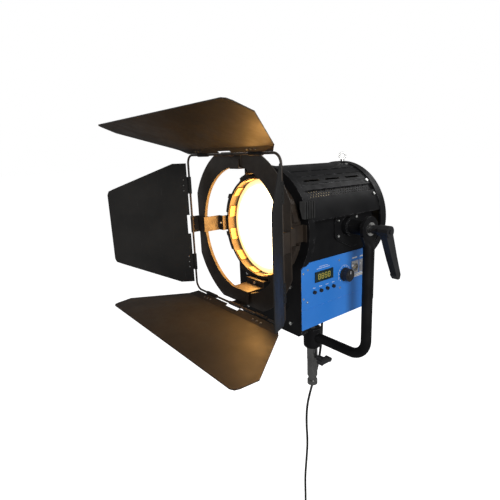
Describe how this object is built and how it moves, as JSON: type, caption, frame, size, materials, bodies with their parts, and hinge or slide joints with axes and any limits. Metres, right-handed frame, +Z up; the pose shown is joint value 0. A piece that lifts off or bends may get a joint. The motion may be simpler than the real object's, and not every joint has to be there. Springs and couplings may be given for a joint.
{
  "type": "fresnel spotlight",
  "caption": "Studio spotlight head with a stepped lens and turning four-leaf barn doors, carried in a tilting tubular yoke on a junior spud, with a hanging mains cord.",
  "frame": {"origin": "on the axis of the mounting spud, part way along its plain 28 mm shank", "axes": "+Z up along the spud, +X towards the side with the control panel, -Y the way the lamp shines at zero tilt"},
  "size_m": [0.5879, 0.5709, 1.357],
  "materials": {
    "black_powder": "satin fine-textured powder coat",
    "barn_door_black": "matte black paint on thin sheet",
    "holder_brown": "matte heat-darkened black paint",
    "panel_blue": "satin blue paint",
    "raw_steel": "brushed",
    "dark_steel": "blackened",
    "zinc_screws": "bright plated",
    "cast_aluminium": "cast",
    "anodised": "satin",
    "lens_glass": "stepped, clear",
    "reflector": "polished",
    "emitter": "phosphor under clear resin",
    "circuit_green": "solder mask",
    "display_black": "smoked window",
    "white_plastic": "moulded",
    "black_plastic": "moulded, fine grain",
    "black_rubber": "matte",
    "friction_fibre": "pressed fibre"
  },
  "bodies": {
    "yoke": {"yoke_tube": "black_powder", "receiver_boss": "black_powder", "mounting_spud": "raw_steel", "yoke_washers": "zinc_screws", "cord_hanging": "black_rubber", "cord_coil": "black_rubber", "mains_plug": "black_plastic"},
    "head": {"barrel_top": "black_powder", "bottom_plate": "black_powder", "box_walls": "black_powder", "cable_gland": "black_rubber", "casing_screws": "zinc_screws", "control_board": "circuit_green", "control_panel": "panel_blue", "cord_upper": "black_rubber", "data_sockets": "cast_aluminium", "display_module": "display_black", "fan_frame": "black_plastic", "fresnel_lens": "lens_glass", "friction_discs": "friction_fibre", "front_casing": "black_powder", "guide_rails": "dark_steel", "holder_ears": "holder_brown", "latch_bracket": "holder_brown", "left_panel": "panel_blue", "lens_bezel": "holder_brown", "lens_clips": "raw_steel", "power_supply": "anodised", "rear_cover": "black_powder", "safety_eyebolt": "zinc_screws", "side_shells": "black_powder", "switch_frame": "black_plastic", "tilt_bolts": "raw_steel", "trunnions": "black_powder", "vent_meshes": "black_powder"},
    "spud_knob": {"spud_lock_knob": "black_plastic"},
    "tilt_lever_body": {"tilt_lever": "black_plastic"},
    "tilt_knob_body": {"tilt_knob": "black_plastic"},
    "barn_ring": {"ring_plate": "holder_brown", "hinge_rod_frame": "holder_brown", "ring_straps": "holder_brown"},
    "top_leaf": {"leaf_top": "barn_door_black"},
    "right_leaf": {"leaf_right": "barn_door_black"},
    "bottom_leaf": {"leaf_bottom": "barn_door_black"},
    "left_leaf": {"leaf_left": "barn_door_black"},
    "latch": {"top_latch": "holder_brown"},
    "push_1": {"button_1": "black_plastic"},
    "push_2": {"button_2": "black_plastic"},
    "push_3": {"button_3": "black_plastic"},
    "push_4": {"button_4": "black_plastic"},
    "dial": {"dimmer_dial": "black_plastic"},
    "focus": {"focus_screw": "raw_steel", "focus_knob": "black_plastic"},
    "light_engine": {"led_carriage": "anodised", "heat_sink": "anodised", "led_module": "emitter", "led_reflector": "reflector"},
    "fan": {"fan_rotor": "black_plastic"},
    "rocker": {"mains_rocker": "black_plastic"},
    "catch": {"casing_catch": "dark_steel"}
  },
  "joints": [
    {"name": "tilt", "type": "hinge", "parent": "yoke", "child": "head", "pos_m": [0, 0, 0.389], "axis": [1, 0, 0], "range_deg": [-60, 30]},
    {"name": "spud_knob_turn", "type": "hinge", "parent": "yoke", "child": "spud_knob", "pos_m": [0, 0, 0.016], "axis": [1, 0, 0], "range_deg": [-360, 360]},
    {"name": "tilt_lever_turn", "type": "hinge", "parent": "head", "child": "tilt_lever_body", "pos_m": [0, 0, 0.389], "axis": [1, 0, 0], "range_deg": [-40, 40]},
    {"name": "tilt_knob_turn", "type": "hinge", "parent": "head", "child": "tilt_knob_body", "pos_m": [0, 0, 0.389], "axis": [1, 0, 0], "range_deg": [-40, 40]},
    {"name": "ring_turn", "type": "hinge", "parent": "head", "child": "barn_ring", "pos_m": [0, -0.248, 0.395], "axis": [0, 1, 0], "range_deg": [-45, 45]},
    {"name": "top_leaf_hinge", "type": "hinge", "parent": "barn_ring", "child": "top_leaf", "pos_m": [0, -0.248, 0.56], "axis": [-1, 0, 0], "range_deg": [-49, 60]},
    {"name": "right_leaf_hinge", "type": "hinge", "parent": "barn_ring", "child": "right_leaf", "pos_m": [0.165, -0.248, 0.395], "axis": [0, 0, 1], "range_deg": [-94, 44]},
    {"name": "bottom_leaf_hinge", "type": "hinge", "parent": "barn_ring", "child": "bottom_leaf", "pos_m": [0, -0.248, 0.23], "axis": [1, 0, 0], "range_deg": [-31, 77]},
    {"name": "left_leaf_hinge", "type": "hinge", "parent": "barn_ring", "child": "left_leaf", "pos_m": [-0.165, -0.248, 0.395], "axis": [0, 0, -1], "range_deg": [-87, 50]},
    {"name": "latch_swing", "type": "hinge", "parent": "head", "child": "latch", "pos_m": [0, -0.184, 0.521], "axis": [1, 0, 0], "range_deg": [0, 25], "stiffness_Nm_per_rad": 0.4},
    {"name": "button_1_press", "type": "slide", "parent": "head", "child": "push_1", "axis": [-1, 0, 0], "range_m": [0, 0.0015], "stiffness_N_per_m": 400},
    {"name": "button_2_press", "type": "slide", "parent": "head", "child": "push_2", "axis": [-1, 0, 0], "range_m": [0, 0.0015], "stiffness_N_per_m": 400},
    {"name": "button_3_press", "type": "slide", "parent": "head", "child": "push_3", "axis": [-1, 0, 0], "range_m": [0, 0.0015], "stiffness_N_per_m": 400},
    {"name": "button_4_press", "type": "slide", "parent": "head", "child": "push_4", "axis": [-1, 0, 0], "range_m": [0, 0.0015], "stiffness_N_per_m": 400},
    {"name": "dial_turn", "type": "hinge", "parent": "head", "child": "dial", "pos_m": [0.114, -0.006, 0.273], "axis": [1, 0, 0], "continuous": true},
    {"name": "light_engine_slide", "type": "slide", "parent": "head", "child": "light_engine", "axis": [0, 1, 0], "range_m": [-0.045, 0.015]},
    {"name": "focus_turn", "type": "hinge", "parent": "head", "child": "focus", "pos_m": [0.088, 0.124, 0.233], "axis": [0, 1, 0], "range_deg": [-545, 1625]},
    {"name": "fan_spin", "type": "hinge", "parent": "head", "child": "fan", "pos_m": [0, 0.084, 0.395], "axis": [0, 1, 0], "continuous": true},
    {"name": "mains_switch", "type": "hinge", "parent": "head", "child": "rocker", "pos_m": [-0.075, 0.114, 0.238], "axis": [1, 0, 0], "range_deg": [-20, 0]},
    {"name": "catch_slide", "type": "slide", "parent": "head", "child": "catch", "axis": [0, -1, 0], "range_m": [0, 0.006], "stiffness_N_per_m": 300}
  ],
  "couplings": [
    {"joint": "focus_turn", "follows": "light_engine_slide", "rad_per_m": -628.32}
  ]
}
